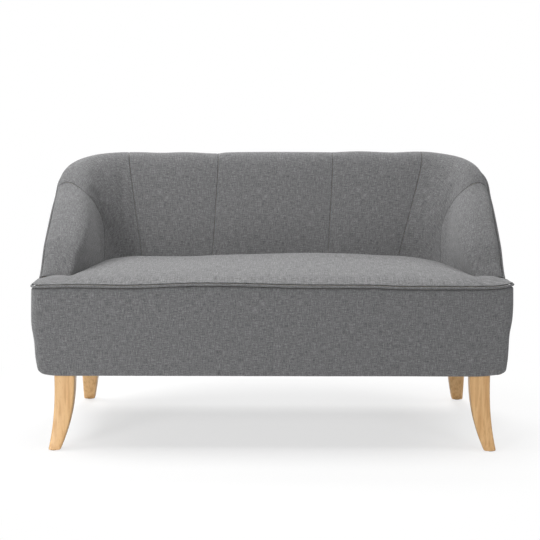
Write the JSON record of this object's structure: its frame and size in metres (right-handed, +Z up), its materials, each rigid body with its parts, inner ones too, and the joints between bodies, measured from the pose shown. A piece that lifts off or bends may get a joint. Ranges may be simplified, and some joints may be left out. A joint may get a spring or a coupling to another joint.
{
  "type": "high back settee",
  "caption": "High back settee with a padded back that sweeps round into sloping arms, a fixed sprung seat and sabre legs.",
  "frame": {"origin": "on the floor, under the middle of the settee's bounding box", "axes": "+X to the right as one faces the settee, +Y from the front to the back, +Z up"},
  "size_m": [1.3076, 0.6526, 0.7635],
  "materials": {
    "cover_weave": "matt grey melange weave",
    "piping_weave": "the same weave on the bias over cord",
    "leg_wood": "clear satin lacquer on pale hardwood",
    "frame_pine": "planed, unfinished",
    "foam": "open-cell foam",
    "felt": "needled felt",
    "hessian": "coarse plain weave",
    "dust_cloth": "thin black cambric",
    "spring_steel": "drawn wire, zinc plated",
    "glide_nylon": "moulded"
  },
  "bodies": {
    "root": {"left_arm_cover": "cover_weave", "left_corner_cover": "cover_weave", "left_back_cover": "cover_weave", "centre_back_cover": "cover_weave", "right_back_cover": "cover_weave", "right_corner_cover": "cover_weave", "right_arm_cover": "cover_weave", "left_side_foam": "foam", "back_foam": "foam", "right_side_foam": "foam", "inside_hessian": "hessian", "left_outside_cover": "cover_weave", "outside_back_cover": "cover_weave", "right_outside_cover": "cover_weave", "seat_cover": "cover_weave", "seat_foam": "foam", "seat_felt": "felt", "front_border": "cover_weave", "rim_piping": "piping_weave", "seat_piping": "piping_weave", "front_rail": "frame_pine", "rear_rail": "frame_pine", "centre_bearer": "frame_pine", "left_side_rail": "frame_pine", "left_corner_rail": "frame_pine", "right_side_rail": "frame_pine", "right_corner_rail": "frame_pine", "front_left_leg": "leg_wood", "front_left_leg_block": "frame_pine", "front_left_leg_bolt": "spring_steel", "front_left_glide": "glide_nylon", "rear_left_leg": "leg_wood", "rear_left_leg_block": "frame_pine", "rear_left_leg_bolt": "spring_steel", "rear_left_glide": "glide_nylon", "front_right_leg": "leg_wood", "front_right_leg_block": "frame_pine", "front_right_leg_bolt": "spring_steel", "front_right_glide": "glide_nylon", "rear_right_leg": "leg_wood", "rear_right_leg_block": "frame_pine", "rear_right_leg_bolt": "spring_steel", "rear_right_glide": "glide_nylon", "dust_cover": "dust_cloth", "outer_left_post": "frame_pine", "inner_left_post": "frame_pine", "inner_right_post": "frame_pine", "outer_right_post": "frame_pine", "top_rail": "frame_pine", "left_arm_rail": "frame_pine", "left_corner_rim_rail": "frame_pine", "left_arm_post": "frame_pine", "left_corner_post": "frame_pine", "right_arm_rail": "frame_pine", "right_corner_rim_rail": "frame_pine", "right_arm_post": "frame_pine", "right_corner_post": "frame_pine", "zigzag_springs": "spring_steel", "front_spring_channel": "spring_steel", "rear_spring_channel": "spring_steel"}
  },
  "joints": []
}
